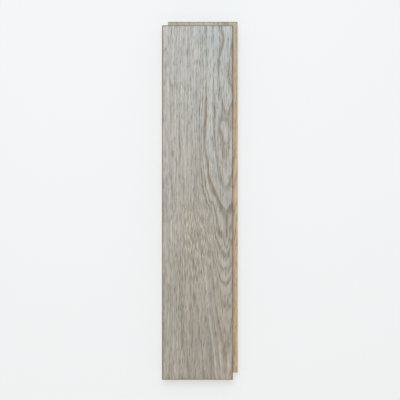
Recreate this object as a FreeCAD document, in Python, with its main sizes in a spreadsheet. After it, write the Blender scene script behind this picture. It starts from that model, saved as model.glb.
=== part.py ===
import FreeCAD, Part
import os
import Sketcher

# One solid oak parquet block, tongued and grooved, lying on its underside.
# X runs across the block, Y along it and Z up. The origin is the middle of the underside
# of the face's own outline, so the tongues reach past the outline on +X and +Y.

TOLERANCE = 1e-4
NODE = "parquet_block"

# Every driving size of the block, in millimetres, with the words that describe it.
SIZES = (
    ("face_length", 350, "visible face, along the grain"),
    ("face_width", 70, "visible face, across the grain"),
    ("thickness", 22, "underside to wear face"),
    ("wear_depth", 9, "wear face down to the top of the tongue"),
    ("tongue_thickness", 5, "tongue, bottom to top"),
    ("tongue_reach", 5, "tongue, past the edge of the face"),
    ("joint_play", 0.2, "gap above and below a tongue in its groove"),
    ("groove_room", 0.6, "gap between a tongue's tip and the groove's floor"),
    ("lip_setback", 0.4, "edges below the joint stand back, so that the faces close first"),
    ("top_bevel", 1.0, "bevel round the wear face"),
    ("tongue_ease", 0.8, "bevel along the tips of the tongues"),
    ("base_arris", 0.6, "bevel round the underside"),
)

HALF_LENGTH = "Sizes.face_length / 2"
HALF_WIDTH = "Sizes.face_width / 2"
TONGUE_TOP = "Sizes.thickness - Sizes.wear_depth"
TONGUE_BOTTOM = TONGUE_TOP + " - Sizes.tongue_thickness"
GROOVE_BOTTOM = TONGUE_BOTTOM + " - Sizes.joint_play"
GROOVE_HEIGHT = "Sizes.tongue_thickness + 2 * Sizes.joint_play"
GROOVE_DEPTH = "Sizes.tongue_reach + Sizes.groove_room"

ORIGIN = (-1, 1)
LEVEL_AXIS = -1


def make_sizes(doc):
    """Fills the sheet that drives every feature of the block."""
    sheet = doc.addObject("Spreadsheet::Sheet", "Sizes")
    for row, (name, value, words) in enumerate(SIZES, start=1):
        sheet.set(f"A{row}", words)
        sheet.set(f"B{row}", str(value))
        sheet.setAlias(f"B{row}", name)
    doc.recompute()
    return sheet


def new_sketch(body, name, plane):
    """Starts a sketch on one of the body's own origin planes."""
    sketch = body.newObject("Sketcher::SketchObject", name)
    support = next(f for f in body.Origin.OriginFeatures if f.Role == plane)
    sketch.AttachmentSupport = (support, "")
    sketch.MapMode = "FlatFace"
    return sketch


def draw_outline(sketch, corners):
    """Draws a closed outline of level and upright lines, and returns its corner points."""
    first = sketch.GeometryCount
    count = len(corners)
    for start, end in zip(corners, corners[1:] + corners[:1]):
        segment = Part.LineSegment(FreeCAD.Vector(*start, 0), FreeCAD.Vector(*end, 0))
        line = sketch.addGeometry(segment, False)
        direction = "Horizontal" if abs(start[1] - end[1]) < TOLERANCE else "Vertical"
        sketch.addConstraint(Sketcher.Constraint(direction, line))
    for step in range(count):
        after = first + (step + 1) % count
        sketch.addConstraint(Sketcher.Constraint("Coincident", first + step, 2, after, 1))
    return [(first + step, 1) for step in range(count)]


def bind(sketch, name, direction, start, end, expression):
    """Ties the distance from one point to another to the sheet, under a name of its own."""
    here = sketch.getPoint(*start)
    there = sketch.getPoint(*end)
    distance = there.x - here.x if direction == "DistanceX" else there.y - here.y
    index = sketch.addConstraint(Sketcher.Constraint(direction, *start, *end, distance))
    sketch.renameConstraint(index, name)
    sketch.setExpression("Constraints." + name, expression)


def pad_blank(body, size):
    """The sawn blank: the face's outline, with the tongues' stock left on +X and +Y."""
    sketch = new_sketch(body, "BlankOutline", "XY_Plane")
    left, right = -size["face_width"] / 2, size["face_width"] / 2 + size["tongue_reach"]
    near, far = -size["face_length"] / 2, size["face_length"] / 2 + size["tongue_reach"]
    corner = draw_outline(sketch, [(left, near), (right, near), (right, far), (left, far)])
    bind(sketch, "left_half", "DistanceX", corner[0], ORIGIN, HALF_WIDTH)
    bind(sketch, "right_half", "DistanceX", ORIGIN, corner[1], HALF_WIDTH + " + Sizes.tongue_reach")
    bind(sketch, "near_half", "DistanceY", corner[0], ORIGIN, HALF_LENGTH)
    bind(sketch, "far_half", "DistanceY", ORIGIN, corner[2], HALF_LENGTH + " + Sizes.tongue_reach")
    blank = body.newObject("PartDesign::Pad", "Blank")
    blank.Profile = sketch
    blank.setExpression("Length", "Sizes.thickness")
    return blank


def cut_through(body, sketch, name):
    """Cuts a sketch's outlines right through the blank, both ways from its plane."""
    cut = body.newObject("PartDesign::Pocket", name)
    cut.Profile = sketch
    cut.Type = "ThroughAll"
    cut.SideType = "Symmetric"
    return cut


def cut_tongue(body, size, name, plane, half, half_expression):
    """Mills the stock above and below one tongue, along the edge that the plane crosses."""
    sketch = new_sketch(body, name + "Waste", plane)
    tip = half + size["tongue_reach"]
    shoulder = half - size["lip_setback"]
    tongue_top = size["thickness"] - size["wear_depth"]
    tongue_bottom = tongue_top - size["tongue_thickness"]

    upper = draw_outline(
        sketch,
        [(half, tongue_top), (tip, tongue_top), (tip, size["thickness"]), (half, size["thickness"])],
    )
    bind(sketch, "face_edge", "DistanceX", ORIGIN, upper[0], half_expression)
    bind(sketch, "upper_reach", "DistanceX", upper[0], upper[1], "Sizes.tongue_reach")
    bind(sketch, "tongue_top", "DistanceY", ORIGIN, upper[0], TONGUE_TOP)
    bind(sketch, "wear_depth", "DistanceY", upper[0], upper[3], "Sizes.wear_depth")

    lower = draw_outline(
        sketch, [(shoulder, 0), (tip, 0), (tip, tongue_bottom), (shoulder, tongue_bottom)]
    )
    sketch.addConstraint(Sketcher.Constraint("PointOnObject", *lower[0], LEVEL_AXIS))
    bind(sketch, "shoulder", "DistanceX", ORIGIN, lower[0], half_expression + " - Sizes.lip_setback")
    bind(sketch, "lower_reach", "DistanceX", lower[0], lower[1], "Sizes.tongue_reach + Sizes.lip_setback")
    bind(sketch, "tongue_bottom", "DistanceY", lower[0], lower[3], TONGUE_BOTTOM)
    return cut_through(body, sketch, name)


def cut_groove(body, size, name, plane, half, half_expression):
    """Mills one groove, and sets the lip below it back from the face's edge."""
    sketch = new_sketch(body, name + "Waste", plane)
    mouth = -half
    lip = mouth + size["lip_setback"]
    floor = mouth + size["tongue_reach"] + size["groove_room"]
    groove_top = size["thickness"] - size["wear_depth"] + size["joint_play"]
    groove_bottom = groove_top - size["tongue_thickness"] - 2 * size["joint_play"]
    corner = draw_outline(
        sketch,
        [
            (mouth, 0),
            (lip, 0),
            (lip, groove_bottom),
            (floor, groove_bottom),
            (floor, groove_top),
            (mouth, groove_top),
        ],
    )
    sketch.addConstraint(Sketcher.Constraint("PointOnObject", *corner[0], LEVEL_AXIS))
    bind(sketch, "face_edge", "DistanceX", corner[0], ORIGIN, half_expression)
    bind(sketch, "lip_setback", "DistanceX", corner[0], corner[1], "Sizes.lip_setback")
    bind(sketch, "groove_bottom", "DistanceY", corner[1], corner[2], GROOVE_BOTTOM)
    bind(sketch, "groove_depth", "DistanceX", corner[0], corner[3], GROOVE_DEPTH)
    bind(sketch, "groove_height", "DistanceY", corner[3], corner[4], GROOVE_HEIGHT)
    return cut_through(body, sketch, name)


def on_level(edge, height):
    """True for an edge that lies level at that height."""
    return all(abs(vertex.Z - height) < TOLERANCE for vertex in edge.Vertexes)


def on_tongue_tip(edge, size):
    """True for a level edge along the outer tip of either tongue."""
    tip_x = size["face_width"] / 2 + size["tongue_reach"]
    tip_y = size["face_length"] / 2 + size["tongue_reach"]
    level = abs(edge.Vertexes[0].Z - edge.Vertexes[-1].Z) < TOLERANCE
    along_side = all(abs(vertex.X - tip_x) < TOLERANCE for vertex in edge.Vertexes)
    along_end = all(abs(vertex.Y - tip_y) < TOLERANCE for vertex in edge.Vertexes)
    return level and (along_side or along_end)


def bevel_edges(body, name, chosen, expression):
    """Bevels the edges of the block so far that the test chooses."""
    base = body.Tip
    names = [f"Edge{i}" for i, edge in enumerate(base.Shape.Edges, start=1) if chosen(edge)]
    bevel = body.newObject("PartDesign::Chamfer", name)
    bevel.Base = (base, names)
    bevel.setExpression("Size", expression)
    body.Document.recompute()
    return bevel


def make_block(doc, size):
    """Saws, moulds, tenons and bevels the block, in the order that a mill does."""
    body = doc.addObject("PartDesign::Body", "ParquetBlock")
    body.Label = NODE
    half_width, half_length = size["face_width"] / 2, size["face_length"] / 2
    pad_blank(body, size)
    cut_tongue(body, size, "SideTongue", "XZ_Plane", half_width, HALF_WIDTH)
    cut_groove(body, size, "SideGroove", "XZ_Plane", half_width, HALF_WIDTH)
    cut_tongue(body, size, "EndTongue", "YZ_Plane", half_length, HALF_LENGTH)
    cut_groove(body, size, "EndGroove", "YZ_Plane", half_length, HALF_LENGTH)
    doc.recompute()
    bevel_edges(body, "TopBevel", lambda e: on_level(e, size["thickness"]), "Sizes.top_bevel")
    bevel_edges(body, "TongueEase", lambda e: on_tongue_tip(e, size), "Sizes.tongue_ease")
    bevel_edges(body, "BaseArris", lambda e: on_level(e, 0), "Sizes.base_arris")
    return body


def check_document(doc, body):
    """Stops before anything is written if a feature failed or a cut took nothing away."""
    for thing in doc.Objects:
        if "Invalid" in thing.State or "Error" in thing.State:
            raise RuntimeError(f"{thing.Label} failed: {thing.State}")
    for feature in body.Group:
        cuts = feature.isDerivedFrom("PartDesign::Pocket") or feature.isDerivedFrom("PartDesign::Chamfer")
        if cuts and feature.Shape.Volume > feature.BaseFeature.Shape.Volume - TOLERANCE:
            raise RuntimeError(f"{feature.Label} cut nothing")
    shape = body.Shape
    if shape.isNull() or not shape.isValid() or len(shape.Solids) != 1:
        raise RuntimeError("the block isn't one valid solid")


def main():
    doc = FreeCAD.newDocument(NODE)
    sheet = make_sizes(doc)
    size = {name: float(sheet.get(name)) for name, value, words in SIZES}
    body = make_block(doc, size)
    doc.recompute()
    check_document(doc, body)
    os.makedirs("parts", exist_ok=True)
    body.Shape.exportStep(os.path.join("parts", body.Label + ".step"))
    box = body.Shape.BoundBox
    print(f"{body.Label}: {box.XLength:.2f} x {box.YLength:.2f} x {box.ZLength:.2f} mm")
    print(f"volume {body.Shape.Volume / 1000:.2f} cm3, {len(body.Shape.Faces)} faces")


main()
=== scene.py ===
import math

import bmesh
import bpy
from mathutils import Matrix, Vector


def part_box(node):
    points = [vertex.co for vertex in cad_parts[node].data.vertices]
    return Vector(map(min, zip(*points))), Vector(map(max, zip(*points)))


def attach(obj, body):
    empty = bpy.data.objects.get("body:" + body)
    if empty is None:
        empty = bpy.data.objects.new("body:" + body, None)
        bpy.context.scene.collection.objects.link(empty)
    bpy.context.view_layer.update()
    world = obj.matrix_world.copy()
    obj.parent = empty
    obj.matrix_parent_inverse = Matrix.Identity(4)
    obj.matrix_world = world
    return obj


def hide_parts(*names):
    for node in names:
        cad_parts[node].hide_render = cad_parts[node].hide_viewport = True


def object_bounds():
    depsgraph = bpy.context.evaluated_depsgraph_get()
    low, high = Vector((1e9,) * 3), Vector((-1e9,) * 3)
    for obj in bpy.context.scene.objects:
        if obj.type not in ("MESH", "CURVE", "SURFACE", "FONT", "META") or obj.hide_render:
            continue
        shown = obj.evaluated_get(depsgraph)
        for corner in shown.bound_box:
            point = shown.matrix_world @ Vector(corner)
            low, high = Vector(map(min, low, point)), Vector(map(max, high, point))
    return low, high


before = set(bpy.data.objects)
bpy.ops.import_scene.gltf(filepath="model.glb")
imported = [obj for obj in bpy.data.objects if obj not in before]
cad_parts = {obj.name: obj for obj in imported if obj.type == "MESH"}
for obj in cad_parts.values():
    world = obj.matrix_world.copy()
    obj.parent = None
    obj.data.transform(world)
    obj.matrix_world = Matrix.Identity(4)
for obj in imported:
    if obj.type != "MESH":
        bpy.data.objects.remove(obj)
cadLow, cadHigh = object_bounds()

mm = 0.001
imageSize = 400  # pixels, both ways
hairline = 0.01 * mm  # places closer together than this count as one
facing = 0.9  # a face looks a way when its normal goes at least that far along it
noiseMiddle = 0.5  # noise runs from 0 to 1

# moulded oak block: the outer sizes come from the frame, the section's own sizes follow
low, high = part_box("parquet_block")
block = {
    "halfWidth": -low.x,
    "halfLength": -low.y,
    "thickness": high.z,
    "tongueReach": high.x + low.x,
    "wearDepth": 9 * mm,
    "tongueThickness": 5 * mm,
    "jointPlay": 0.2 * mm,
    "grooveRoom": 0.6 * mm,
    "lipSetback": 0.4 * mm,
    "topBevel": 1.0 * mm,
    "tongueEase": 0.8 * mm,
    "baseArris": 0.6 * mm,
    "softArris": 0.15 * mm,
    "softSegments": 2,
    "flatAngle": math.radians(1),  # faces that meet at less than this are one face
    "cutPasses": 2,  # the wear face is cut twice each way, into 16 x 16 strips
    "cutsPerPass": 15,
    "reliefDepth": 0.11 * mm,  # where the earlywood has its full strength
    "dashRelief": 0.5,  # a dash is brushed out that much as deep
    "reliefRim": 0.9 * mm,  # the relief runs out over this width at the face's rim
    "smoothAngle": math.radians(32),
    "bevelUp": 0.1,  # a bevel looks up at least that far
    "endAlong": 0.6,  # an end looks along the grain at least that far
}


def pickFaces(piece, test):
    bpy.ops.mesh.select_mode(type="FACE")
    bpy.ops.mesh.select_all(action="DESELECT")
    form = bmesh.from_edit_mesh(piece.data)
    for face in form.faces:
        face.select_set(test(face.calc_center_median(), face.normal))
    form.select_flush_mode()
    bmesh.update_edit_mesh(piece.data)


def pickEdges(piece, test):
    bpy.ops.mesh.select_mode(type="EDGE")
    bpy.ops.mesh.select_all(action="DESELECT")
    form = bmesh.from_edit_mesh(piece.data)
    for edge in form.edges:
        edge.select_set(test(edge.verts[0].co, edge.verts[1].co))
    form.select_flush_mode()
    bmesh.update_edit_mesh(piece.data)


def near(value, target):
    return abs(value - target) < hairline


def pull(piece, direction, bottom, top, distance):
    # the faces that look one way between two heights move out together
    way = Vector(direction)
    pickFaces(piece, lambda centre, normal: normal.dot(way) > facing and bottom < centre.z < top)
    bpy.ops.mesh.extrude_region_move(TRANSFORM_OT_translate={"value": way * distance})


def mouldBlock():
    tongueTop = block["thickness"] - block["wearDepth"]
    tongueBottom = tongueTop - block["tongueThickness"]
    grooveTop = tongueTop + block["jointPlay"]
    grooveBottom = tongueBottom - block["jointPlay"]
    grooveDepth = block["tongueReach"] + block["grooveRoom"]
    setback = block["lipSetback"]

    # core between the grooves' floors and the tongues' shoulders
    coreLow = Vector((grooveDepth - block["halfWidth"], grooveDepth - block["halfLength"], 0))
    coreHigh = Vector((block["halfWidth"] - setback, block["halfLength"] - setback, block["thickness"]))
    bpy.ops.object.select_all(action="DESELECT")
    bpy.ops.mesh.primitive_cube_add(size=1, location=(coreLow + coreHigh) / 2)
    piece = bpy.context.active_object
    piece.name = piece.data.name = "oak_block"
    piece.scale = coreHigh - coreLow
    bpy.ops.object.transform_apply(location=True, rotation=True, scale=True)

    bpy.ops.object.mode_set(mode="EDIT")
    for height in (grooveBottom, tongueBottom, tongueTop, grooveTop):
        bpy.ops.mesh.select_all(action="SELECT")
        bpy.ops.mesh.bisect(plane_co=(0, 0, height), plane_no=(0, 0, 1))

    # lips over and under the grooves, then shoulders and tongues, first along the sides, then the ends
    beyond = 2 * block["thickness"]
    for grooveSide, tongueSide in (((-1, 0, 0), (1, 0, 0)), ((0, -1, 0), (0, 1, 0))):
        pull(piece, grooveSide, grooveTop, beyond, grooveDepth)
        pull(piece, grooveSide, -beyond, grooveBottom, grooveDepth - setback)
        pull(piece, tongueSide, tongueTop, beyond, setback)
        pull(piece, tongueSide, tongueBottom, tongueTop, setback + block["tongueReach"])
    bpy.ops.mesh.select_all(action="SELECT")
    bpy.ops.mesh.dissolve_limited(angle_limit=block["flatAngle"])

    # bevel round the wear face, eased tongue tips, arris round the underside
    top, bottom = block["thickness"], 0.0
    tipX = block["halfWidth"] + block["tongueReach"]
    tipY = block["halfLength"] + block["tongueReach"]

    def onLevel(p, q, height):
        return near(p.z, height) and near(q.z, height)

    def onTip(p, q):
        onSide = near(p.x, tipX) and near(q.x, tipX)
        onEnd = near(p.y, tipY) and near(q.y, tipY)
        return near(p.z, q.z) and (onSide or onEnd)

    pickEdges(piece, lambda p, q: onLevel(p, q, top))
    bpy.ops.mesh.bevel(offset=block["topBevel"], segments=1, affect="EDGES")
    pickEdges(piece, onTip)
    bpy.ops.mesh.bevel(offset=block["tongueEase"], segments=1, affect="EDGES")
    pickEdges(piece, lambda p, q: onLevel(p, q, bottom))
    bpy.ops.mesh.bevel(offset=block["baseArris"], segments=1, affect="EDGES")
    for height in (top, top - block["topBevel"]):
        pickEdges(piece, lambda p, q: onLevel(p, q, height))
        bpy.ops.mesh.bevel(offset=block["softArris"], segments=block["softSegments"], affect="EDGES")

    # fine strips along and across the wear face, for the brushed grain
    for axis in (1, 0):
        for cutPass in range(block["cutPasses"]):
            pickEdges(piece, lambda p, q: onLevel(p, q, top) and near(p[axis], q[axis]))
            bpy.ops.mesh.subdivide(number_cuts=block["cutsPerPass"])
    bpy.ops.object.mode_set(mode="OBJECT")
    print("block moulded:", len(piece.data.polygons), "faces")
    return piece


def feed(tree, socket, value):
    if isinstance(value, bpy.types.NodeSocket):
        tree.links.new(value, socket)
    else:
        socket.default_value = value


def addNode(tree, kind, inputs=None, **settings):
    node = tree.nodes.new(kind)
    for name, value in settings.items():
        setattr(node, name, value)
    for name, value in (inputs or {}).items():
        feed(tree, node.inputs[name], value)
    return node


def calc(tree, operation, *values, clamp=False):
    inputs = dict(enumerate(values))
    return addNode(tree, "ShaderNodeMath", inputs, operation=operation, use_clamp=clamp).outputs[0]


def times(tree, first, *others):
    for other in others:
        first = calc(tree, "MULTIPLY", first, other)
    return first


def without(tree, mask):
    # what a mask leaves
    return calc(tree, "SUBTRACT", 1.0, mask)


def square(tree, value):
    return calc(tree, "POWER", value, 2)


def mixed(tree, share, first, second):
    # sockets 2 and 3 take plain values
    return addNode(tree, "ShaderNodeMix", {0: share, 2: first, 3: second}).outputs[0]


def ease(tree, value, start, end, first=0.0, last=1.0):
    # smooth step from first to last while the value goes from start to end
    inputs = {"Value": value, "From Min": start, "From Max": end, "To Min": first, "To Max": last}
    return addNode(tree, "ShaderNodeMapRange", inputs, interpolation_type="SMOOTHSTEP").outputs["Result"]


def stretch(tree, place, across, along):
    # a place counted in marks of that size across and along the grain
    inputs = {0: place, 1: (1 / across, 1 / along, 1 / across)}
    return addNode(tree, "ShaderNodeVectorMath", inputs, operation="MULTIPLY").outputs[0]


def grainNoise(tree, place, across, along, detail=1.0):
    # noise whose blotches measure about that much across and along the grain
    inputs = {"Vector": stretch(tree, place, across, along), "Scale": 1.0, "Detail": detail}
    return addNode(tree, "ShaderNodeTexNoise", inputs).outputs[0]


def sway(tree, noise, amount):
    # noise turned into a shift either way
    return calc(tree, "MULTIPLY", calc(tree, "SUBTRACT", noise, noiseMiddle), amount / noiseMiddle)


def curveThrough(tree, value, points, xRange, yRange):
    # smooth curve through a few points, in their own units
    x0, x1 = xRange
    y0, y1 = yRange
    node = addNode(tree, "ShaderNodeFloatCurve")
    share = calc(tree, "DIVIDE", calc(tree, "SUBTRACT", value, x0), x1 - x0)
    feed(tree, node.inputs["Value"], share)
    spots = [((x - x0) / (x1 - x0), (y - y0) / (y1 - y0)) for x, y in points]
    mapping = node.mapping
    mapping.use_clip = False
    mapping.extend = "EXTRAPOLATED"
    line = mapping.curves[0]
    line.points[0].location = spots[0]
    line.points[1].location = spots[-1]
    for spot in spots[1:-1]:
        line.points.new(*spot)
    for point in line.points:
        point.handle_type = "AUTO_CLAMPED"
    mapping.update()
    return calc(tree, "MULTIPLY_ADD", node.outputs[0], y1 - y0, y0)


# the stem that the block was sawn from, in millimetres of the block's own frame;
# distances out from the pith count from the ring that just reaches the wear face
stem = {
    "pithAside": 27.5,
    "pithBelowFace": 24.0,
    "flatness": 0.5,  # the rings are ovals, narrower across the block than through it
    # each ring leans in to the pith down the block: height along the block, how far it has leant
    "lean": (
        (-180, -24.0), (-136, -21.9), (-100, -19.4), (-78, -18.0), (-52, -15.4), (-34, -13.4), (-18, -12.0),
        (-6, -10.2), (6, -7.6), (18, -4.6), (32, -2.8), (48, -1.4), (66, -0.5), (100, 0.0), (180, 0.0),
    ),
    "leanRange": (-180, 180),
    "leanDelay": 1.5,  # an outer ring leans in that much lower down, for each millimetre of radius
    "leanFade": (10, 58, 1.0, 0.1),  # between these distances out the lean fades to a tenth
    # places where the grain swells or dips: x and y, reach each way, how far
    "swells": (
        ((6.0, 64.0), (9.0, 32.0), -1.8),
        ((27.5, 84.0), (4.0, 11.0), 0.8),
        ((32.0, 126.0), (4.5, 12.0), 0.95),
        ((22.3, -64.0), (3.2, 15.0), -0.5),
        ((32.7, -64.0), (3.2, 15.0), -0.5),
        ((34.0, 166.0), (4.0, 12.0), -1.3),
        ((34.0, 106.0), (4.0, 10.0), -1.2),
        ((17.5, 30.0), (5.0, 32.0), 1.2),
        ((28.5, 16.0), (4.0, 34.0), -0.8),
        ((21.0, 134.0), (5.0, 18.0), -0.7),
        ((28.8, -30.0), (1.6, 14.0), -3.0),
        ((10.0, -100.0), (8.0, 30.0), -1.1),
        ((27.5, -165.0), (2.2, 20.0), -1.2),
        ((21.5, 92.0), (3.5, 12.0), 1.5),
        ((24.0, 160.0), (4.0, 10.0), 0.8),
        ((23.5, 76.0), (4.0, 7.0), -0.7),
        ((17.0, 8.0), (5.0, 15.0), 0.7),
        ((9.5, 42.0), (4.0, 10.0), 0.7),
        ((18.5, -27.0), (4.5, 13.0), -1.2),
        ((9.5, 6.0), (3.0, 6.0), 0.6),
        ((-20.8, -40.0), (14.0, 45.0), 1.4),
    ),
    "swellDepth": (9.0, 0.25),  # that far below the wear face a quarter of each swell is left
    # places where the earlywood is bolder or fainter than the year's own
    "boldPlaces": (
        ((9.0, 92.0), (4.0, 16.0), 0.5),
        ((16.5, 94.0), (3.0, 14.0), 0.45),
        ((9.5, 42.0), (4.0, 10.0), 0.3),
        ((13.5, 20.0), (4.0, 8.0), 0.3),
        ((17.0, 150.0), (3.5, 30.0), -0.35),
        ((20.0, -114.0), (5.0, 24.0), 0.2),
        ((22.6, -125.0), (3.0, 10.0), 0.3),
        ((-14.0, -105.0), (9.0, 45.0), -0.5),
    ),
    # each year's growth: the distance out where it starts, how bold its first wood is, how pale its last
    "years": (
        (-7.5, 0.8, 0.5), (-4.8, 0.8, 0.5), (-2.2, 0.8, 0.5), (0.5, 0.8, 0.6), (3.8, 0.85, 0.6),
        (9.4, 1.0, 0.6), (13.0, 0.85, 0.5), (14.9, 0.95, 0.6), (16.7, 0.75, 0.5), (18.0, 0.8, 0.4),
        (19.2, 0.5, 0.3), (21.7, 0.62, 0.8), (24.0, 0.4, 1.0), (26.6, 0.8, 0.5), (29.2, 0.3, 0.4),
        (31.8, 0.3, 0.4), (34.2, 1.2, 0.6), (36.8, 0.3, 0.4), (39.2, 0.3, 0.9), (41.6, 1.6, 0.6),
        (44.4, 0.3, 0.4), (47.2, 0.4, 0.4), (50.0, 0.4, 0.4),
    ),
    "ringProbe": 0.5,  # a ring's width is taken over this much growth
    "widestRing": 10.0,
    "earlywood": 1.9,
    "earlywoodMost": 0.6,  # earlywood takes no larger share of its ring than this
    "vesselPitch": 0.38,
    "vesselLength": 8.0,
}

# how the oak's grain runs: sizes across and along it in millimetres, then the noise's detail if not 1
grain = {
    "waves": ((34, 80, 1.6), (7, 32, 1.1), (2.2, 12, 0.4)),  # here the last value is how far the rings bend
    "calm": (0.0, 16.0, 0.25, 1.0),  # towards the pith the waves calm down to a quarter
    "ragged": (0.9, 10, 0.35),  # and here too
    "bold": (4, 20),
    "width": (6, 45),
    "breaks": (1.5, 11, 1.5),
    "dash": (1.1, 11),
    "fine": (0.45, 12),
    "coarse": (0.85, 9),
    "long": (0.8, 42),
    # pale lines along the grain: places as y and x, half its width, how pale
    "veins": (
        (
            ((-190, 20.4), (-159, 17.2), (-136, 14.9), (-116, 11.8), (-93, 9.5), (-66, 7.9), (-50, 7.0)),
            0.95,
            1.0,
        ),
        (((-190, 24.0), (-155, 22.6), (-130, 21.4)), 1.1, 0.6),
        (((-190, 32.4), (-165, 31.4), (-145, 30.4)), 1.0, 0.7),
    ),
    "veinFade": 15,  # a vein runs out over this length at its upper end
    "drift": (15, 90, 2.0),
    # places that are darker or paler than the rest
    "shadePlaces": (
        ((0.0, -150.0), (20.0, 50.0), -0.25),
        ((-28.0, -140.0), (12.0, 60.0), -0.1),
        ((-2.0, 130.0), (12.0, 55.0), -0.12),
        # painted sheen: the upper end is paler across the whole width, as a window's sheen would light it
        ((0.0, 176.0), (60.0, 14.0), 0.13),
        ((-25.0, 98.0), (12.0, 32.0), -0.06),
        ((18.0, 153.0), (6.0, 22.0), 0.13),
        ((-28.0, 10.0), (8.0, 28.0), 0.12),
        ((18.0, -22.0), (5.0, 16.0), 0.18),
        ((8.5, -20.0), (5.0, 16.0), -0.1),
        ((18.0, -93.0), (6.0, 22.0), 0.1),
        ((-1.0, 153.0), (5.0, 18.0), -0.12),
        ((-14.0, -38.0), (8.0, 22.0), -0.1),
        ((8.5, 112.0), (4.0, 20.0), -0.17),
        ((-29.0, 75.0), (6.0, 22.0), -0.1),
        ((-29.0, 150.0), (6.0, 22.0), -0.08),
        ((-29.0, -22.0), (6.0, 20.0), 0.1),
        ((-19.0, -65.0), (5.0, 18.0), -0.09),
        ((-8.0, -24.0), (3.0, 18.0), -0.1),
        ((27.0, 66.0), (5.0, 20.0), 0.09),
        ((8.5, 22.0), (5.0, 20.0), 0.08),
        ((25.7, -102.7), (3.5, 4.5), -0.1),
        ((26.5, -127.0), (4.0, 10.0), -0.32),
        ((30.4, -162.0), (3.0, 13.0), 0.18),
        ((25.0, -155.0), (2.5, 16.0), -0.12),
        ((29.6, -24.0), (2.5, 12.0), -0.12),
        ((13.0, 110.0), (5.0, 18.0), -0.1),
    ),
    # long soft streaks, darker or paler
    "streakPlaces": (
        ((-26.2, 88.0), (1.3, 75.0), -0.15),
        ((-22.4, 62.0), (1.5, 50.0), 0.1),
        ((-18.4, 88.0), (1.2, 50.0), -0.08),
        ((-12.2, 95.0), (1.6, 70.0), 0.11),
        ((-9.9, 95.0), (1.0, 50.0), -0.1),
        ((-5.3, 92.0), (1.0, 50.0), -0.12),
        ((3.4, 95.0), (1.2, 60.0), 0.13),
        ((-28.5, 140.0), (1.3, 40.0), 0.08),
    ),
    "tint": (7, 30, 2.0),
    # places that are warmer or cooler than the rest
    "tintPlaces": (
        ((0.0, -40.0), (18.0, 80.0), 0.4),
        ((-30.0, -110.0), (14.0, 90.0), -0.2),
        ((-30.0, 0.0), (12.0, 70.0), -0.2),
        ((30.0, -110.0), (16.0, 90.0), 0.2),
        # painted sheen: this entry and the next two make the upper end cooler, as a cool window sheen would
        # light it
        ((0.0, 185.0), (70.0, 60.0), -0.5),
        ((15.0, 165.0), (14.0, 38.0), -0.35),
        ((0.0, 178.0), (60.0, 12.0), -0.5),
        ((25.7, -102.7), (3.5, 4.5), 0.4),
        ((26.5, -128.0), (4.0, 10.0), 0.35),
    ),
    # where the arches' flanks run out, slim pale strokes cross at two slants
    "netStroke": (1.4, 9, 0.0),
    "netSlants": (0.2, -0.1),
    "netStagger": 0.8,
    "netPlace": ((1.0, -42.0), (16.0, 50.0), 1.0),
    "ray": (0.8, 11, 13),  # around the pith, along the grain, out from the pith
    "rayDoublings": 3,  # there are twice as many rays each time the radius doubles
}

# how each mark comes and goes: where its change starts and ends, the value before it and after it
marks = {
    "wide": (0.36, 0.64, 0.6, 1.25),
    "wideIfBold": (0.4, 1.1, 0.75, 1.45),
    "bandStart": (0.0, 0.2),
    "bandEnd": (0.35, 1.2, 1.0, 0.0),
    "breaks": (0.36, 0.6, 0.1, 1.0),
    "mended": (0.1, 1.0, 0.75, 1.0),  # breaks that hardly show
    "outer": (11.0, 26.0),  # between these distances out the wood turns coarser
    "outerBreaks": (0.0, 1.0, 0.2, 1.0),
    "outerFibres": (0.0, 1.0, 0.55, 1.0),
    "bold": (0.35, 0.62, 0.7, 1.1),
    "outerBold": (11.0, 25.0, 1.0, 0.45),
    "topWash": (100.0, 118.0, 0.0, 0.4),  # the rings fade towards the upper end
    "topWashRings": (1.5, 3.5),
    "flankFade": (2.0, 7.0, 0.0, 0.5),  # the lower arches fade along their flanks
    "flankRings": (15.6, 17.5),
    "rim": (0.55, 0.9),
    "outerRim": (14.0, 30.0, 1.0, 0.5),
    "heart": (-100.0, -50.0, 0.35, 0.85),  # the wood over the pith is paler further up
    "dash": (0.5, 0.66),
    "bore": (0.3, 0.5, 1.0, 0.0),
    "vesselShares": (0.06, 0.9, 0.45),  # cells with a vessel: anywhere, more in earlywood, more in a dash
    "poreShares": (0.07, 0.7),  # the same on a cut across the grain: anywhere, more in a ring
    "ray": (0.6, 0.72),
    "rayStart": (-0.7, -0.4),  # in doublings of the radius
    "rayEnd": (0.3, 0.6),
    "net": (0.2, 0.65),
    "netCalm": 0.8,  # in the net that much of the long fibres and the pale heart is missing
    "stroke": (0.56, 0.66),
    "strokePale": 0.42,
    "strokeGround": 0.62,
    "longFibres": (-60.0, 60.0, 0.5, 0.68),
    "fineFibres": 0.12,
}


def bell(tree, squared):
    # falls from 1 to 0 as a squared distance grows
    return calc(tree, "EXPONENT", calc(tree, "MULTIPLY", squared, -1.0))


def swellAt(tree, spot, swell):
    # a rounded hump over one place of the face
    (midX, midY), (reachX, reachY), rise = swell
    offX = calc(tree, "DIVIDE", calc(tree, "SUBTRACT", spot["x"], midX), reachX)
    offY = calc(tree, "DIVIDE", calc(tree, "SUBTRACT", spot["y"], midY), reachY)
    squared = calc(tree, "ADD", square(tree, offX), square(tree, offY))
    return calc(tree, "MULTIPLY", bell(tree, squared), rise)


def addSwells(tree, spot, value, swells):
    for swell in swells:
        value = calc(tree, "ADD", value, swellAt(tree, spot, swell))
    return value


def veinAt(tree, spot, vein):
    # a line that follows a few places along the block and fades at its upper end
    points, halfWidth, paleness = vein
    heights, sides = zip(*points)
    route = curveThrough(tree, spot["y"], points, (heights[0], heights[-1]), (min(sides), max(sides)))
    off = calc(tree, "DIVIDE", calc(tree, "SUBTRACT", spot["x"], route), halfWidth)
    fade = ease(tree, spot["y"], heights[-1] - grain["veinFade"], heights[-1], paleness, 0.0)
    return calc(tree, "MULTIPLY", bell(tree, square(tree, off)), fade)


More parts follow.
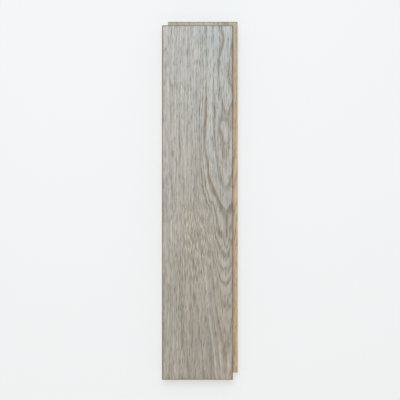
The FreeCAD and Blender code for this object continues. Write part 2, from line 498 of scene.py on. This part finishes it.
# a spot's distance out, bent by the stem's lean, its swells and its wavy grain
def growthAt(tree, spot):
    place, past = spot["place"], spot["past"]
    leans = [lean for height, lean in stem["lean"]]
    height = calc(tree, "MULTIPLY_ADD", past, stem["leanDelay"], spot["y"])
    lean = curveThrough(tree, height, stem["lean"], stem["leanRange"], (min(leans), max(leans)))
    lean = calc(tree, "MULTIPLY", lean, ease(tree, past, *stem["leanFade"]))
    grown = calc(tree, "SUBTRACT", past, lean)
    depth, leftOver = stem["swellDepth"]
    wearFace = block["thickness"] / mm
    swelling = addSwells(tree, spot, 0.0, stem["swells"])
    swellShare = ease(tree, spot["z"], wearFace - depth, wearFace, leftOver, 1.0)
    grown = calc(tree, "MULTIPLY_ADD", swelling, swellShare, grown)

    # the grain is calm over the pith and curls further out, and the fibres leave each line ragged
    wild = ease(tree, calc(tree, "ABSOLUTE", past), *grain["calm"])
    for across, along, reach in grain["waves"]:
        shift = sway(tree, grainNoise(tree, place, across, along), reach)
        grown = calc(tree, "MULTIPLY_ADD", shift, wild, grown)
    across, along, reach = grain["ragged"]
    return calc(tree, "ADD", grown, sway(tree, grainNoise(tree, place, across, along), reach))


# the year that a spot grew in: its ring's width, the share of the ring behind the spot,
# how bold the ring starts and how pale it ends
def yearAt(tree, grown):
    starts, boldness, paleness = zip(*stem["years"])
    calendar = [(start, year) for year, start in enumerate(starts)]
    span = (starts[0], starts[-1])
    yearSpan = (0, len(starts) - 1)
    ahead = stem["ringProbe"]
    years = curveThrough(tree, grown, calendar, span, yearSpan)
    later = curveThrough(tree, calc(tree, "ADD", grown, ahead), calendar, span, yearSpan)
    passed = calc(tree, "MAXIMUM", calc(tree, "SUBTRACT", later, years), ahead / stem["widestRing"])
    ringWidth = calc(tree, "DIVIDE", ahead, passed)
    whole = calc(tree, "FLOOR", years)
    listed = calc(tree, "MINIMUM", calc(tree, "MAXIMUM", whole, yearSpan[0]), yearSpan[1])
    bold = curveThrough(tree, listed, list(enumerate(boldness)), yearSpan, (0.0, 1.0))
    pale = curveThrough(tree, listed, list(enumerate(paleness)), yearSpan, (0.0, 1.0))
    return ringWidth, calc(tree, "FRACT", years), bold, pale


# where a spot lies in the stem, and which of the grain's regions it is in
def findSpot(tree, entry):
    toMm = addNode(tree, "ShaderNodeVectorMath", {0: entry, "Scale": 1 / mm}, operation="SCALE")
    place = toMm.outputs[0]
    x, y, z = addNode(tree, "ShaderNodeSeparateXYZ", {0: place}).outputs
    aside = calc(tree, "SUBTRACT", x, stem["pithAside"])
    pithHeight = block["thickness"] / mm - stem["pithBelowFace"]
    above = calc(tree, "MULTIPLY", calc(tree, "SUBTRACT", z, pithHeight), stem["flatness"])
    radius = calc(tree, "SQRT", calc(tree, "ADD", square(tree, aside), square(tree, above)))
    faceRadius = stem["flatness"] * stem["pithBelowFace"]
    past = calc(tree, "SUBTRACT", radius, faceRadius)
    spot = {"place": place, "x": x, "y": y, "z": z, "past": past}
    spot["around"] = calc(tree, "MULTIPLY", calc(tree, "ARCTAN2", aside, above), stem["pithBelowFace"])
    spot["doublings"] = calc(tree, "LOGARITHM", calc(tree, "DIVIDE", radius, faceRadius), 2.0)
    spot["grown"] = growthAt(tree, spot)
    spot["outer"] = ease(tree, past, *marks["outer"])
    spot["broken"] = ease(tree, grainNoise(tree, place, *grain["breaks"]), *marks["breaks"])
    spot["mended"] = ease(tree, spot["broken"], *marks["mended"])
    spot["inNet"] = ease(tree, swellAt(tree, spot, grain["netPlace"]), *marks["net"])
    spot["netCalm"] = calc(tree, "MULTIPLY_ADD", spot["inNet"], -marks["netCalm"], 1.0)
    return spot


# earlywood starts each ring with a dark line, and the ring ends in a pale one
def ringsAt(tree, spot):
    place, y, past, grown = spot["place"], spot["y"], spot["past"], spot["grown"]
    ringWidth, share, bold, pale = yearAt(tree, grown)
    wide = ease(tree, grainNoise(tree, place, *grain["width"]), *marks["wide"])
    wide = times(tree, wide, ease(tree, bold, *marks["wideIfBold"]), stem["earlywood"])
    wide = calc(tree, "MINIMUM", calc(tree, "MULTIPLY", ringWidth, stem["earlywoodMost"]), wide)
    stage = calc(tree, "DIVIDE", calc(tree, "MULTIPLY", share, ringWidth), wide)
    band = times(tree, ease(tree, stage, *marks["bandStart"]), ease(tree, stage, *marks["bandEnd"]))
    gaps = mixed(tree, ease(tree, spot["outer"], *marks["outerBreaks"]), 1.0, spot["broken"])

    varied = ease(tree, grainNoise(tree, place, *grain["bold"]), *marks["bold"])
    inner = ease(tree, past, *marks["outerBold"])
    washed = times(tree, ease(tree, y, *marks["topWash"]), ease(tree, grown, *marks["topWashRings"]))
    flank = times(tree, ease(tree, grown, *marks["flankRings"]), ease(tree, past, *marks["flankFade"]))
    bolder = addSwells(tree, spot, 1.0, stem["boldPlaces"])
    strength = times(tree, bold, varied, inner, without(tree, washed), without(tree, flank), bolder)
    earlywood = times(tree, band, gaps, strength)

    rim = times(tree, ease(tree, share, *marks["rim"]), pale, ease(tree, past, *marks["outerRim"]))
    heart = times(tree, without(tree, spot["outer"]), ease(tree, y, *marks["heart"]), spot["netCalm"])
    latewood = calc(tree, "MAXIMUM", heart, rim)
    rings = times(tree, band, spot["mended"])  # across the grain each ring shows whole
    return earlywood, latewood, rings


# vessels are slim tubes along the grain, crowded in the earlywood and in short clusters elsewhere
def vesselsAt(tree, spot, earlywood, dashes, rings):
    tube = stretch(tree, spot["place"], stem["vesselPitch"], stem["vesselLength"])
    cells = addNode(tree, "ShaderNodeTexVoronoi", {"Vector": tube, "Scale": 1.0})
    bore = ease(tree, cells.outputs["Distance"], *marks["bore"])
    chance = addNode(tree, "ShaderNodeSeparateXYZ", {0: cells.outputs["Color"]}).outputs[0]
    anywhere, inEarlywood, inDash = marks["vesselShares"]
    crowd = calc(tree, "MULTIPLY_ADD", earlywood, inEarlywood, anywhere)
    crowd = calc(tree, "MULTIPLY_ADD", dashes, inDash, crowd)
    vessels = times(tree, bore, calc(tree, "LESS_THAN", chance, crowd))
    anywhere, inRing = marks["poreShares"]
    porous = calc(tree, "MULTIPLY_ADD", rings, inRing, anywhere)
    pores = times(tree, bore, calc(tree, "LESS_THAN", chance, porous))
    return vessels, pores


# rays are thin upright lenses on the planes through the pith, with new ones between them further out
def raysAt(tree, spot):
    rayAround, rayAlong, rayOut = grain["ray"]
    startFrom, startTo = marks["rayStart"]
    endFrom, endTo = marks["rayEnd"]
    rays = 0.0
    for doubling in range(grain["rayDoublings"]):
        leaf = {
            0: calc(tree, "MULTIPLY", spot["around"], 2 ** doubling / rayAround),
            1: calc(tree, "DIVIDE", spot["y"], rayAlong),
            2: calc(tree, "MULTIPLY_ADD", spot["grown"], 1 / rayOut, doubling),
        }
        leafPlace = addNode(tree, "ShaderNodeCombineXYZ", leaf).outputs[0]
        noise = addNode(tree, "ShaderNodeTexNoise", {"Vector": leafPlace, "Scale": 1.0, "Detail": 0.0})
        starts = ease(tree, spot["doublings"], doubling + startFrom, doubling + startTo)
        ends = ease(tree, spot["doublings"], doubling + endFrom, doubling + endTo, 1.0, 0.0)
        lens = times(tree, ease(tree, noise.outputs[0], *marks["ray"]), starts, ends)
        rays = calc(tree, "MAXIMUM", rays, lens)
    return rays


# flecks are the net of pale strokes and the pale veins, and the net's ground is darker
def flecksAt(tree, spot):
    strokes = 0.0
    for slant in grain["netSlants"]:
        leant = calc(tree, "MULTIPLY_ADD", spot["y"], slant, spot["x"])
        staggered = calc(tree, "MULTIPLY_ADD", spot["x"], grain["netStagger"], spot["y"])
        sheared = addNode(tree, "ShaderNodeCombineXYZ", {0: leant, 1: staggered, 2: spot["z"]})
        stroke = grainNoise(tree, sheared.outputs[0], *grain["netStroke"])
        strokes = calc(tree, "MAXIMUM", strokes, ease(tree, stroke, *marks["stroke"]))
    flecks = times(tree, strokes, spot["inNet"], marks["strokePale"])
    for vein in grain["veins"]:
        line = times(tree, veinAt(tree, spot, vein), spot["mended"])
        flecks = calc(tree, "MAXIMUM", flecks, line)
    ground = times(tree, without(tree, strokes), spot["inNet"], marks["strokeGround"])
    return flecks, ground


# fibres are fine, coarse and long streaks, smoother in the inner rings' wood
def fibresAt(tree, spot):
    fine = grainNoise(tree, spot["place"], *grain["fine"])
    coarse = grainNoise(tree, spot["place"], *grain["coarse"])
    longer = grainNoise(tree, spot["place"], *grain["long"])
    longShare = times(tree, ease(tree, spot["y"], *marks["longFibres"]), spot["netCalm"])
    streaks = mixed(tree, longShare, coarse, longer)
    fineShare = marks["fineFibres"]
    fibres = calc(tree, "MULTIPLY_ADD", fine, fineShare, calc(tree, "MULTIPLY", streaks, 1 - fineShare))
    return mixed(tree, ease(tree, spot["outer"], *marks["outerFibres"]), noiseMiddle, fibres)


# one figure for the shaders and for the relief: it is built the same way in either kind of tree
def growOak(treeKind):
    tree = bpy.data.node_groups.new("oakFigure" + treeKind, treeKind)
    tree.interface.new_socket("Place", in_out="INPUT", socket_type="NodeSocketVector")
    masks = ("Earlywood", "Latewood", "Vessels", "Rays", "Flecks", "Fibres", "Dashes", "GrowthAndSheen", "Tint",
             "Rings", "Pores")
    for name in masks:
        tree.interface.new_socket(name, in_out="OUTPUT", socket_type="NodeSocketFloat")
    entry = tree.nodes.new("NodeGroupInput")
    leave = tree.nodes.new("NodeGroupOutput")
    spot = findSpot(tree, entry.outputs["Place"])
    earlywood, latewood, rings = ringsAt(tree, spot)
    dashes = ease(tree, grainNoise(tree, spot["place"], *grain["dash"]), *marks["dash"])
    vessels, pores = vesselsAt(tree, spot, earlywood, dashes, rings)
    rays = raysAt(tree, spot)
    flecks, ground = flecksAt(tree, spot)
    dashes = calc(tree, "MAXIMUM", dashes, ground)
    fibres = fibresAt(tree, spot)
    # the growth tone also carries a painted sheen, paler at the upper end, and the tint a painted cool
    # sheen there
    growthAndSheen = grainNoise(tree, spot["place"], *grain["drift"])
    growthAndSheen = addSwells(tree, spot, growthAndSheen, grain["shadePlaces"] + grain["streakPlaces"])
    tint = addSwells(tree, spot, grainNoise(tree, spot["place"], *grain["tint"]), grain["tintPlaces"])
    found = (earlywood, latewood, vessels, rays, flecks, fibres, dashes, growthAndSheen, tint, rings, pores)
    for name, value in zip(masks, found):
        tree.links.new(value, leave.inputs[name])
    return tree


figureShader = growOak("ShaderNodeTree")
figureRelief = growOak("GeometryNodeTree")
print("oak figure grown for", figureShader.name, "and", figureRelief.name)


def brushGrain(piece):
    # earlywood and dashes are brushed out of the wear face, and nothing at its rim
    tree = bpy.data.node_groups.new("brushedGrain", "GeometryNodeTree")
    tree.interface.new_socket("Geometry", in_out="INPUT", socket_type="NodeSocketGeometry")
    tree.interface.new_socket("Geometry", in_out="OUTPUT", socket_type="NodeSocketGeometry")
    entry = tree.nodes.new("NodeGroupInput")
    leave = tree.nodes.new("NodeGroupOutput")
    place = tree.nodes.new("GeometryNodeInputPosition").outputs[0]
    figure = addNode(tree, "GeometryNodeGroup", node_tree=figureRelief)
    feed(tree, figure.inputs["Place"], place)
    x, y, z = addNode(tree, "ShaderNodeSeparateXYZ", {0: place}).outputs
    rim = block["reliefRim"]
    faceX = block["halfWidth"] - block["topBevel"] - block["softArris"]
    faceY = block["halfLength"] - block["topBevel"] - block["softArris"]
    insideX = ease(tree, calc(tree, "ABSOLUTE", x), faceX - rim, faceX, 1.0, 0.0)
    insideY = ease(tree, calc(tree, "ABSOLUTE", y), faceY - rim, faceY, 1.0, 0.0)
    dashes, earlywood = figure.outputs["Dashes"], figure.outputs["Earlywood"]
    worn = calc(tree, "MULTIPLY_ADD", dashes, block["dashRelief"], earlywood)
    depth = times(tree, worn, times(tree, insideX, insideY), -block["reliefDepth"])
    shift = addNode(tree, "ShaderNodeCombineXYZ", {2: depth})
    onTop = calc(tree, "GREATER_THAN", z, block["thickness"] - hairline)
    mover = addNode(tree, "GeometryNodeSetPosition", {"Selection": onTop, "Offset": shift.outputs[0]})
    tree.links.new(entry.outputs[0], mover.inputs["Geometry"])
    tree.links.new(mover.outputs[0], leave.inputs[0])

    bpy.ops.object.select_all(action="DESELECT")
    piece.select_set(True)
    bpy.context.view_layer.objects.active = piece
    brush = piece.modifiers.new("brushedGrain", "NODES")
    brush.node_group = tree
    bpy.ops.object.modifier_apply(modifier=brush.name)
    bpy.ops.object.shade_smooth_by_angle(angle=block["smoothAngle"])
    halfBevel = block["thickness"] - block["topBevel"] / 2
    lowest = min(v.co.z for v in piece.data.vertices if v.co.z > halfBevel)
    print("grain brushed, at most", round((block["thickness"] - lowest) / mm, 3), "mm deep")


def paint(red, green, blue):
    # a colour as it reads on the screen, 0 to 255, made linear by the screen's own curve
    whitest, toe, toeSlope, offset, power = 255, 0.04045, 12.92, 0.055, 2.4

    def linear(level):
        share = level / whitest
        return share / toeSlope if share <= toe else ((share + offset) / (1 + offset)) ** power

    return (linear(red), linear(green), linear(blue), 1.0)


def blend(tree, factor, first, second, mode="MIX"):
    # sockets 6 and 7 take colours, and output 2 gives one
    inputs = {0: factor, 6: first, 7: second}
    return addNode(tree, "ShaderNodeMix", inputs, data_type="RGBA", blend_type=mode).outputs[2]


# how the figure's marks turn into colour and height, on every cut of the block
finish = {
    "driftShare": 0.3,  # how much the slow drift of tone counts beside the fibres
    "warmth": (0.35, -0.25, -1.0),  # what a warm place adds to red, green and blue
    "earlywoodOpen": 0.5,  # earlywood is that much as rough as a vessel
    "fibreHeight": 0.35,  # fibres stand that much as high as a vessel is deep
}


def oakFinish():
    tree = bpy.data.node_groups.new("oakFinish", "ShaderNodeTree")
    tree.interface.new_socket("Place", in_out="INPUT", socket_type="NodeSocketVector")
    for name in ("Ground", "Latewood", "Earlywood", "Vessel", "Ray"):
        tree.interface.new_socket(name, in_out="INPUT", socket_type="NodeSocketColor")
    for name in ("Pale Contrast", "Ring Contrast", "Vessel Contrast", "Ray Contrast", "Fleck Contrast",
                 "Fibre Contrast", "Dash Contrast", "Tint Contrast", "Ring Clarity", "Mark Depth"):
        tree.interface.new_socket(name, in_out="INPUT", socket_type="NodeSocketFloat")
    tree.interface.new_socket("Mark Pitch", in_out="INPUT", socket_type="NodeSocketVector")
    tree.interface.new_socket("Color", in_out="OUTPUT", socket_type="NodeSocketColor")
    tree.interface.new_socket("Height", in_out="OUTPUT", socket_type="NodeSocketFloat")
    tree.interface.new_socket("Open", in_out="OUTPUT", socket_type="NodeSocketFloat")
    entry = tree.nodes.new("NodeGroupInput")
    leave = tree.nodes.new("NodeGroupOutput")
    given = entry.outputs
    figure = addNode(tree, "ShaderNodeGroup", node_tree=figureShader)
    tree.links.new(given["Place"], figure.inputs["Place"])
    masks = figure.outputs

    def shown(mask, contrast):
        return calc(tree, "MULTIPLY", mask, given[contrast], clamp=True)

    clarity = given["Ring Clarity"]
    early = shown(mixed(tree, clarity, masks["Earlywood"], masks["Rings"]), "Ring Contrast")
    bores = shown(mixed(tree, clarity, masks["Vessels"], masks["Pores"]), "Vessel Contrast")
    rays = shown(masks["Rays"], "Ray Contrast")
    flecks = shown(masks["Flecks"], "Fleck Contrast")
    colour = blend(tree, shown(masks["Latewood"], "Pale Contrast"), given["Ground"], given["Latewood"])
    colour = blend(tree, early, colour, given["Earlywood"])
    colour = blend(tree, shown(masks["Dashes"], "Dash Contrast"), colour, given["Earlywood"])
    colour = blend(tree, calc(tree, "MAXIMUM", rays, flecks), colour, given["Ray"])
    colour = blend(tree, bores, colour, given["Vessel"])

    # fibres and drift set the tone, which also goes from warm to cool; the drift and the tint also carry a
    # painted sheen, paler and cooler at the upper end
    streak = sway(tree, masks["Fibres"], 1.0)
    slow = sway(tree, masks["GrowthAndSheen"], finish["driftShare"])
    light = calc(tree, "MULTIPLY_ADD", calc(tree, "ADD", streak, slow), given["Fibre Contrast"], 1.0)
    warm = calc(tree, "MULTIPLY", sway(tree, masks["Tint"], 1.0), given["Tint Contrast"])
    tones = [calc(tree, "MULTIPLY_ADD", warm, added, light) for added in finish["warmth"]]
    shade = addNode(tree, "ShaderNodeCombineColor", dict(enumerate(tones)))
    colour = blend(tree, 1.0, colour, shade.outputs[0], "MULTIPLY")

    # knife or saw marks stand in even rows, so many a metre along each axis
    pores = calc(tree, "MAXIMUM", bores, calc(tree, "MULTIPLY", early, finish["earlywoodOpen"]))
    height = calc(tree, "SUBTRACT", calc(tree, "MULTIPLY", masks["Fibres"], finish["fibreHeight"]), bores)
    pitch = {0: given["Place"], 1: given["Mark Pitch"]}
    rows = addNode(tree, "ShaderNodeVectorMath", pitch, operation="DOT_PRODUCT").outputs["Value"]
    turns = calc(tree, "MULTIPLY", calc(tree, "ADD", rows, masks["GrowthAndSheen"]), 2 * math.pi)
    height = calc(tree, "MULTIPLY_ADD", calc(tree, "SINE", turns), given["Mark Depth"], height)
    tree.links.new(colour, leave.inputs["Color"])
    tree.links.new(height, leave.inputs["Height"])
    tree.links.new(pores, leave.inputs["Open"])
    return tree


finishTree = oakFinish()


def newMaterial(name):
    material = bpy.data.materials.new(name)
    material.use_nodes = True
    tree = material.node_tree
    tree.nodes.clear()
    shader = tree.nodes.new("ShaderNodeBsdfPrincipled")
    output = tree.nodes.new("ShaderNodeOutputMaterial")
    tree.links.new(shader.outputs[0], output.inputs["Surface"])
    place = tree.nodes.new("ShaderNodeTexCoord").outputs["Object"]
    return material, tree, shader, place


def bumpFrom(tree, height, distance):
    inputs = {"Height": height, "Distance": distance, "Strength": 1.0}
    return addNode(tree, "ShaderNodeBump", inputs).outputs[0]


greyWash = {
    "ground": paint(178, 167, 153),
    "latewood": paint(184, 179, 168),
    "earlywood": paint(146, 128, 104),
    "vessel": paint(120, 104, 84),
    "ray": paint(204, 197, 184),
    "pale": 1.0,
    "ring": 0.9,
    "vessels": 0.75,
    "rays": 0.1,
    "flecks": 1.0,
    "fibre": 1.06,
    "dash": 0.45,
    "tint": 0.06,
    "clarity": 0.0,
    "markDepth": 0.0,
    "markRows": (0.0, 0.0, 0.0),
    "roughness": (0.37, 0.6),
    "bump": 0.05 * mm,
}
bareOak = {
    "ground": paint(203, 181, 149),
    "latewood": paint(211, 191, 160),
    "earlywood": paint(178, 151, 115),
    "vessel": paint(128, 101, 72),
    "ray": paint(208, 186, 152),
    "pale": 1.0,
    "ring": 0.75,
    "vessels": 0.7,
    "rays": 0.5,
    "flecks": 0.0,
    "fibre": 0.1,
    "dash": 0.2,
    "tint": 0.1,
    "clarity": 0.0,
    "markDepth": 0.12,
    "markRows": (0.0, 0.8 / mm, 0.0),  # the planer's knives cut across the grain
    "roughness": (0.62, 0.8),
    "bump": 0.06 * mm,
}
endGrain = dict(
    bareOak,
    ground=paint(160, 131, 98),
    latewood=paint(170, 142, 108),
    earlywood=paint(132, 101, 70),
    vessel=paint(72, 52, 34),
    ray=paint(190, 165, 130),
    vessels=0.85,
    rays=0.6,
    fibre=0.05,
    dash=0.0,
    clarity=1.0,
    markDepth=0.2,
    markRows=(1.5 / mm, 0.0, 0.5 / mm),  # the saw's teeth came through at a slant
    roughness=(0.75, 0.9),
)
# the bevel's darker brown is partly a real stain and partly painted shade, the shadow that falls in the
# joint between two blocks
bevelStainAndShade = dict(
    bareOak,
    ground=paint(146, 125, 100),
    latewood=paint(152, 131, 106),
    earlywood=paint(122, 100, 76),
    vessel=paint(92, 73, 54),
    markDepth=0.0,
    roughness=(0.5, 0.7),
)


def oakMaterial(name, look):
    material, tree, shader, place = newMaterial(name)
    values = {
        "Place": place,
        "Ground": look["ground"],
        "Latewood": look["latewood"],
        "Earlywood": look["earlywood"],
        "Vessel": look["vessel"],
        "Ray": look["ray"],
        "Pale Contrast": look["pale"],
        "Ring Contrast": look["ring"],
        "Vessel Contrast": look["vessels"],
        "Ray Contrast": look["rays"],
        "Fleck Contrast": look["flecks"],
        "Fibre Contrast": look["fibre"],
        "Dash Contrast": look["dash"],
        "Tint Contrast": look["tint"],
        "Ring Clarity": look["clarity"],
        "Mark Depth": look["markDepth"],
        "Mark Pitch": look["markRows"],
    }
    oak = addNode(tree, "ShaderNodeGroup", values, node_tree=finishTree).outputs
    tree.links.new(oak["Color"], shader.inputs["Base Color"])
    smooth, rough = look["roughness"]
    tree.links.new(ease(tree, oak["Open"], 0.0, 1.0, smooth, rough), shader.inputs["Roughness"])
    tree.links.new(bumpFrom(tree, oak["Height"], look["bump"]), shader.inputs["Normal"])
    return material


def dressBlock(piece):
    materials = [
        oakMaterial("greyWashedFace", greyWash),
        oakMaterial("stainedAndShadedBevel", bevelStainAndShade),
        oakMaterial("machinedOak", bareOak),
        oakMaterial("endGrain", endGrain),
    ]
    for material in materials:
        piece.data.materials.append(material)
    face, bevel, side, end = range(len(materials))
    foot = block["thickness"] - block["topBevel"]
    for polygon in piece.data.polygons:
        height, normal = polygon.center.z, polygon.normal
        if height > foot and normal.z > facing:
            polygon.material_index = face
        elif height > foot - block["softArris"] and normal.z > block["bevelUp"]:
            polygon.material_index = bevel
        elif abs(normal.y) > block["endAlong"]:
            polygon.material_index = end
        else:
            polygon.material_index = side
    print("finishes on:", ", ".join(m.name for m in materials))


oakBlock = mouldBlock()
brushGrain(oakBlock)
dressBlock(oakBlock)
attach(oakBlock, "root")
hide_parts("parquet_block")

# floor, light and camera
studio = {
    "white": (1.0, 1.0, 1.0, 1.0),
    "floorSize": 6.0,
    "floorTone": (0.95, 0.95, 0.95, 1.0),
    "floorFade": (0.35, 1.3, 0.5, 1.0),  # between these distances the floor goes from half to fully white
    "fill": 0.53,
    "fillTone": (1.0, 0.935, 0.85, 1.0),
    "keyPlace": (-0.06, 0.34, 1.26),
    "keySize": 0.55,
    "keyPower": 8.0,
    "keyTone": (0.7, 0.86, 1.0),
    "lens": 85.0,
    "sensor": 36.0,
    "fillOfFrame": 0.9,
}


def seenDirectly(tree):
    # camera, glossy and transmission rays see the background, the rest are lit by it
    path = tree.nodes.new("ShaderNodeLightPath")
    seen = calc(tree, "MAXIMUM", path.outputs["Is Camera Ray"], path.outputs["Is Glossy Ray"])
    return calc(tree, "MAXIMUM", seen, path.outputs["Is Transmission Ray"])


def showMix(tree, outputKind, share, first, second):
    shaders = {0: share, 1: first.outputs[0], 2: second.outputs[0]}
    mix = addNode(tree, "ShaderNodeMixShader", shaders)
    output = tree.nodes.new(outputKind)
    tree.links.new(mix.outputs[0], output.inputs["Surface"])


def setStage():
    bpy.ops.object.select_all(action="DESELECT")
    bpy.ops.mesh.primitive_plane_add(size=studio["floorSize"], location=(0, 0, 0))
    floor = bpy.context.active_object
    floor.name = "floor"
    material = bpy.data.materials.new("whiteFloor")
    material.use_nodes = True
    tree = material.node_tree
    tree.nodes.clear()
    matt = addNode(tree, "ShaderNodeBsdfDiffuse", {"Color": studio["floorTone"]})
    glow = addNode(tree, "ShaderNodeEmission", {"Color": studio["white"], "Strength": 1.0})
    spot = tree.nodes.new("ShaderNodeTexCoord").outputs["Object"]
    away = addNode(tree, "ShaderNodeVectorMath", {0: spot}, operation="LENGTH").outputs["Value"]
    share = times(tree, seenDirectly(tree), ease(tree, away, *studio["floorFade"]))
    showMix(tree, "ShaderNodeOutputMaterial", share, matt, glow)
    floor.data.materials.append(material)

    world = bpy.data.worlds.new("studio")
    bpy.context.scene.world = world
    world.use_nodes = True
    tree = world.node_tree
    tree.nodes.clear()
    fill = addNode(tree, "ShaderNodeBackground", {"Color": studio["fillTone"], "Strength": studio["fill"]})
    white = addNode(tree, "ShaderNodeBackground", {"Color": studio["white"], "Strength": 1.0})
    showMix(tree, "ShaderNodeOutputWorld", seenDirectly(tree), fill, white)

    bpy.ops.object.light_add(type="AREA", location=studio["keyPlace"])
    key = bpy.context.active_object
    key.name = "windowLight"
    key.data.size = studio["keySize"]
    key.data.energy = studio["keyPower"]
    key.data.color = studio["keyTone"]
    key.rotation_euler = (-Vector(studio["keyPlace"])).to_track_quat("-Z", "Y").to_euler()
    key.visible_camera = False
    print("stage set with", floor.name, "and", key.name)


def setCamera():
    middle = (cadLow + cadHigh) / 2
    halfFrame = (cadHigh.y - cadLow.y) / 2 / studio["fillOfFrame"]
    distance = halfFrame / (studio["sensor"] / 2 / studio["lens"])
    overhead = (middle.x, middle.y, block["thickness"] + distance)
    bpy.ops.object.camera_add(location=overhead, rotation=(0, 0, 0))
    camera = bpy.context.active_object
    camera.data.lens = studio["lens"]
    camera.data.sensor_width = studio["sensor"]
    bpy.context.scene.camera = camera
    pixel = 2 * halfFrame / imageSize
    print("camera looks straight down, one pixel is", round(pixel / mm, 3), "mm")


setStage()
setCamera()
bpy.context.scene.view_settings.view_transform = "Standard"
